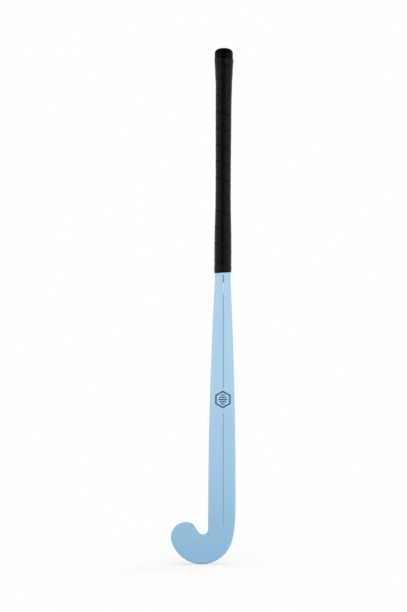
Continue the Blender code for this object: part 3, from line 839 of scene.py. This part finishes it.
def tape_section():
    """The tape's outer and inner side as (distance down from its upper edge, height off the handle)."""
    outer = [(0, TAPE_FLAP_FOOT + TAPE_EDGE / 3)]
    for step in range(TAPE_EDGE_STEPS + 1):
        angle = math.pi / 2 * step / TAPE_EDGE_STEPS
        off = TAPE_FLAP_TOP - TAPE_EDGE * (1 - math.sin(angle))
        outer.append((TAPE_EDGE * (1 - math.cos(angle)), off))
    for share in (0.2, 0.4, 0.6, 0.8, 1):
        down = TAPE_EDGE + (TAPE_RAMP - TAPE_EDGE) * share
        outer.append((down, TAPE_FLAP_TOP + (TAPE_BODY - TAPE_FLAP_TOP) * eased(share)))
    for share in (0.33, 0.66):
        outer.append((TAPE_RAMP + (TAPE_SHOULDER - TAPE_RAMP - TAPE_THINNED) * share, TAPE_BODY))
    for share in (0, 0.2, 0.4, 0.6, 0.8, 0.95):
        down = TAPE_SHOULDER - TAPE_THINNED * (1 - share)
        outer.append((down, TAPE_BODY - TAPE_DIP * eased(share)))
    outer.append((TAPE_SHOULDER, TAPE_BODY - TAPE_DIP - TAPE_EDGE / 2))
    inner = [(TAPE_SHOULDER, TAPE_SKIVED), (TAPE_WIDTH, TAPE_SKIVED), (TAPE_WIDTH, TAPE_UNDER)]
    inner += [(TAPE_FLAP, TAPE_UNDER), (TAPE_FLAP, TAPE_FLAP_FOOT), (TAPE_EDGE / 4, TAPE_FLAP_FOOT)]
    return outer, inner


def cut_section(side, least, most):
    """One side of the section, cut off above least at the tape's start, or below most at its end."""
    cut = []
    for down, off in side:
        if down <= TAPE_SHOULDER:
            down = least + down * (TAPE_SHOULDER - least) / TAPE_SHOULDER
        if down >= TAPE_FLAP:
            down = TAPE_FLAP + (down - TAPE_FLAP) * (most - TAPE_FLAP) / (TAPE_WIDTH - TAPE_FLAP)
        cut.append((down, off))
    return cut


def tape_point(height, off, angle):
    """A point at a height off what the tape is wound on, at an angle round the handle."""
    half = wound_width(height) / 2 + off
    narrowed = narrowing(body_width(height))
    x = SHAFT_AXIS + half * math.cos(angle)
    return (x, middle_line(height) + (half - narrowed) * math.sin(angle), height)


def tape_rings():
    """The tape's section at each step down its winding."""
    top = GRIP_TOP + TAPE_SHOULDER - TAPE_START
    bottom = TAPE_BOTTOM + TAPE_FLAP + TAPE_END
    outer, inner = tape_section()
    rings = []
    for step in range(int((top - bottom) / TAPE_PITCH * TAPE_STEPS) + 1):
        turn = step / TAPE_STEPS
        angle = TAPE_START_ANGLE + math.tau * turn
        upper = top - TAPE_PITCH * turn
        least = max(0, upper - GRIP_TOP)
        most = min(TAPE_WIDTH, upper - TAPE_BOTTOM)
        wander = TAPE_WANDER * noise.noise(Vector((turn * WANDER_RATE, WANDER_SEED, 0)))
        ring = []
        for down, off in cut_section(outer, least, most):
            height = upper - down
            off = TAPE_BODY + (off - TAPE_BODY) * pressed(height, turn) + squeezed(height, angle)
            if TAPE_EDGE < down < TAPE_PITCH - TAPE_RAMP:
                height += wander
            ring.append(tape_point(height, off, angle))
        ring += [tape_point(upper - down, off, angle) for down, off in cut_section(inner, least, most)]
        rings.append(ring)
    return rings


def soft_tape():
    """Black soft tape with a fine grain, a little duller in patches."""
    material, shader = new_material(
        "grip_tape", Specular_IOR_Level=0.18, Specular_Tint=(0.98, 0.92, 1, 1)
    )
    point = places(material)
    patches = cloud(material, point, scale=90, detail=4)
    tone = ramp(material, patches, ((0.3, linear(10, 7, 11)), (0.7, linear(17, 13, 18))))
    join(material, tone, shader.inputs["Base Color"])
    gloss = add(material, "ShaderNodeMapRange", {"Value": patches, "To Min": 0.2, "To Max": 0.32})
    join(material, gloss.outputs["Result"], shader.inputs["Roughness"])
    inputs = {"Vector": point, "Scale": 1300.0}
    cells = add(material, "ShaderNodeTexVoronoi", inputs, feature="DISTANCE_TO_EDGE").outputs["Distance"]
    creases = add(material, "ShaderNodeMapRange", {"Value": cells, "From Max": 0.12}).outputs["Result"]
    grain = relief(material, creases, 0.00004, 0.4)
    fine = relief(material, cloud(material, point, scale=5200, detail=2), 0.00003, 0.4, under=grain)
    join(material, fine, shader.inputs["Normal"])
    return material


grip_wrap = loft("grip_wrap", tape_rings())
grip_wrap.data.materials.append(soft_tape())
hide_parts("grip_tape")


# Finishing tape
# A band of black vinyl tape, wound once round the foot of the grip and lapping down over the paint.
# It hides the grip's cut end, and its lower edge runs a little askew.

COLLAR_BORE = 0.0293
COLLAR_WALL = 0.0005
COLLAR_SLANT = math.radians(3.4)
COLLAR_SWELL = 0.0006
COLLAR_TUCK = 0.0028
COLLAR_RIM = 0.0003
COLLAR_SIDES = 120
COLLAR_ROWS = 24


def finishing_rings():
    """Rings up the band's outside, which bulges and tucks in, from the foot to the top of its bore."""
    narrowed = narrowing(NECK_WIDTH)
    rings = []
    for row in range(COLLAR_ROWS + 1):
        share = (1 - math.cos(math.pi * row / COLLAR_ROWS)) / 2
        up = COLLAR_HEIGHT * share
        foot = math.sqrt(1 - max(0, 1 - up / COLLAR_TUCK) ** 2)
        top = math.sqrt(1 - max(0, 1 - (COLLAR_HEIGHT - up) / COLLAR_RIM) ** 2)
        out = (COLLAR_WALL + COLLAR_SWELL * math.sin(math.pi * share)) * min(foot, top)
        slant = COLLAR_SLANT * (1 - share)
        rings.append(oval_ring(GRIP_BOTTOM + up, COLLAR_BORE + 2 * out, narrowed, COLLAR_SIDES, slant))
    return rings


def vinyl():
    """Black vinyl with faint stretch marks round the handle."""
    material, shader = new_material(
        "finishing_tape", Roughness=0.34, Specular_IOR_Level=0.16, Specular_Tint=(0.98, 0.92, 1, 1)
    )
    stretch = cloud(material, places(material, (60, 60, 1600)), detail=3)
    tone = ramp(material, stretch, ((0.3, linear(18, 14, 19)), (0.7, linear(27, 22, 28))))
    join(material, tone, shader.inputs["Base Color"])
    join(material, relief(material, stretch, 0.00004, 0.4), shader.inputs["Normal"])
    return material


finishing_band = loft("finishing_band", finishing_rings(), endless=True)
finishing_band.data.materials.append(vinyl())
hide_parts("finishing_tape")


# Studio
# A long lens looks level at the flat face. Gloss mirrors a white band at the stick's level, dark round
# the camera, and three broad panels light the stick from in front, overhead and behind.

# Camera, with its sensor in millimetres
CAMERA_DISTANCE = 5.5
CAMERA_X = -0.0011
CAMERA_HEIGHT = 0.4632
CAMERA_ROLL = math.radians(0.25)
VIEW_HEIGHT = 1.1014
SENSOR = 36

# Lamps, as name, place, size and power in watts
PANELS = (
    ("front_panel", (0, -2.6, 1.4), 1.6, 14),
    ("top_panel", (0, 0.3, 2.6), 1.4, 8),
    ("back_panel", (1.9, 2.2, 1.5), 1.6, 12),
)

# The room's even light, and the levels and angles of what gloss mirrors
ROOM_LEVEL = 0.88
DARK_LEVEL = 0.01
DARK_TURN = math.radians(6)
DARK_WITHIN = math.radians(20)
WHITE_BEYOND = math.radians(40)
BAND_EDGE = math.sin(math.radians(7))
BAND_END = math.sin(math.radians(28))
DIM_LEVEL = 0.12

# Floor, and how far from its middle it fades out
FLOOR_RADIUS = 0.42
FLOOR_FADE_START = 0.21
FLOOR_FADE_END = 0.4074
FLOOR_WHITE_SHARE = 0.4


def panel(name, place, size, power):
    """A soft square lamp aimed at the stick's middle, which its gloss doesn't mirror."""
    aim = Vector((SHAFT_AXIS, 0, STICK_LENGTH / 2)) - Vector(place)
    lamp = bpy.data.lights.new(name, "AREA")
    lamp.size = size
    lamp.energy = power
    holder = bpy.data.objects.new(name, lamp)
    holder.location = place
    holder.rotation_euler = aim.to_track_quat("-Z", "Y").to_euler()
    holder.visible_glossy = False
    bpy.context.scene.collection.objects.link(holder)


def background(world, level):
    """A plain white of the given level."""
    return add(world, "ShaderNodeBackground", {"Color": (1, 1, 1, 1), "Strength": level}).outputs[0]


def mirrored(owner):
    """1 for what gloss or glass shows, and 0 otherwise."""
    ray = add(owner, "ShaderNodeLightPath").outputs
    inputs = {0: ray["Is Glossy Ray"], 1: ray["Is Transmission Ray"]}
    return add(owner, "ShaderNodeMath", inputs, operation="MAXIMUM").outputs[0]


def room():
    """Even white light, but in gloss a white band that dims up and down and is dark near the camera."""
    world = bpy.data.worlds.new("room")
    world.use_nodes = True
    world.node_tree.nodes.clear()
    direction = add(world, "ShaderNodeTexCoord").outputs["Generated"]
    camera_side = (-math.sin(DARK_TURN), -math.cos(DARK_TURN), 0)
    inputs = {0: direction, 1: camera_side}
    near = add(world, "ShaderNodeVectorMath", inputs, operation="DOT_PRODUCT").outputs["Value"]
    angle = add(world, "ShaderNodeMath", {0: near}, operation="ARCCOSINE").outputs[0]
    limits = {"Value": angle, "From Min": DARK_WITHIN, "From Max": WHITE_BEYOND, "To Min": DARK_LEVEL}
    aside = add(world, "ShaderNodeMapRange", limits).outputs["Result"]
    rise = add(world, "ShaderNodeSeparateXYZ", {"Vector": direction}).outputs["Z"]
    steepness = add(world, "ShaderNodeMath", {0: rise}, operation="ABSOLUTE").outputs[0]
    limits = {"Value": steepness, "From Min": BAND_EDGE, "From Max": BAND_END}
    limits |= {"To Min": 1.0, "To Max": DIM_LEVEL}
    band = add(world, "ShaderNodeMapRange", limits).outputs["Result"]
    level = add(world, "ShaderNodeMath", {0: aside, 1: band}, operation="MULTIPLY").outputs[0]
    inputs = {0: mirrored(world), 1: background(world, ROOM_LEVEL), 2: background(world, level)}
    lit = add(world, "ShaderNodeMixShader", inputs).outputs[0]
    seen = add(world, "ShaderNodeLightPath").outputs["Is Camera Ray"]
    inputs = {0: seen, 1: lit, 2: background(world, 1.0)}
    both = add(world, "ShaderNodeMixShader", inputs).outputs[0]
    add(world, "ShaderNodeOutputWorld", {"Surface": both})
    bpy.context.scene.world = world


def floor():
    """A pale round floor that takes the stick's shadow and fades out at its rim."""
    shape = bmesh.new()
    bmesh.ops.create_circle(shape, cap_ends=True, segments=96, radius=FLOOR_RADIUS)
    mesh = bpy.data.meshes.new("floor")
    shape.to_mesh(mesh)
    shape.free()
    piece = bpy.data.objects.new("floor", mesh)
    bpy.context.scene.collection.objects.link(piece)
    material, shader = new_material(
        "floor", Base_Color=(0.9, 0.9, 0.9, 1), Roughness=0.9, Specular_IOR_Level=0.0
    )
    point = places(material)
    away = add(material, "ShaderNodeVectorMath", {0: point}, operation="LENGTH").outputs["Value"]
    limits = {"Value": away, "From Min": FLOOR_FADE_START, "From Max": FLOOR_FADE_END}
    fade = add(material, "ShaderNodeMapRange", limits, interpolation_type="SMOOTHSTEP").outputs["Result"]
    inputs = {0: add(material, "ShaderNodeLightPath").outputs["Is Camera Ray"], 1: mirrored(material)}
    seen = add(material, "ShaderNodeMath", inputs, operation="MAXIMUM").outputs[0]
    inputs = {0: seen, 1: FLOOR_WHITE_SHARE}
    white_share = add(material, "ShaderNodeMath", inputs, operation="MULTIPLY").outputs[0]
    white = add(material, "ShaderNodeEmission", {"Strength": 1.0}).outputs[0]
    inputs = {0: white_share, 1: shader.outputs[0], 2: white}
    ground = add(material, "ShaderNodeMixShader", inputs).outputs[0]
    clear = add(material, "ShaderNodeBsdfTransparent").outputs[0]
    faded = add(material, "ShaderNodeMixShader", {0: fade, 1: ground, 2: clear}).outputs[0]
    join(material, faded, material.node_tree.nodes["Material Output"].inputs["Surface"])
    mesh.materials.append(material)


def camera():
    """A long lens, level, rolled by the quarter degree that the stick leans in the photograph."""
    lens = bpy.data.cameras.new("camera")
    lens.sensor_width = SENSOR
    lens.lens = SENSOR * CAMERA_DISTANCE / VIEW_HEIGHT
    holder = bpy.data.objects.new("camera", lens)
    holder.location = (CAMERA_X, -CAMERA_DISTANCE, CAMERA_HEIGHT)
    holder.rotation_euler = (math.pi / 2, -CAMERA_ROLL, 0)
    bpy.context.scene.collection.objects.link(holder)
    bpy.context.scene.camera = holder


for name, place, size, power in PANELS:
    panel(name, place, size, power)
room()
floor()
camera()
bpy.context.scene.view_settings.view_transform = "Standard"
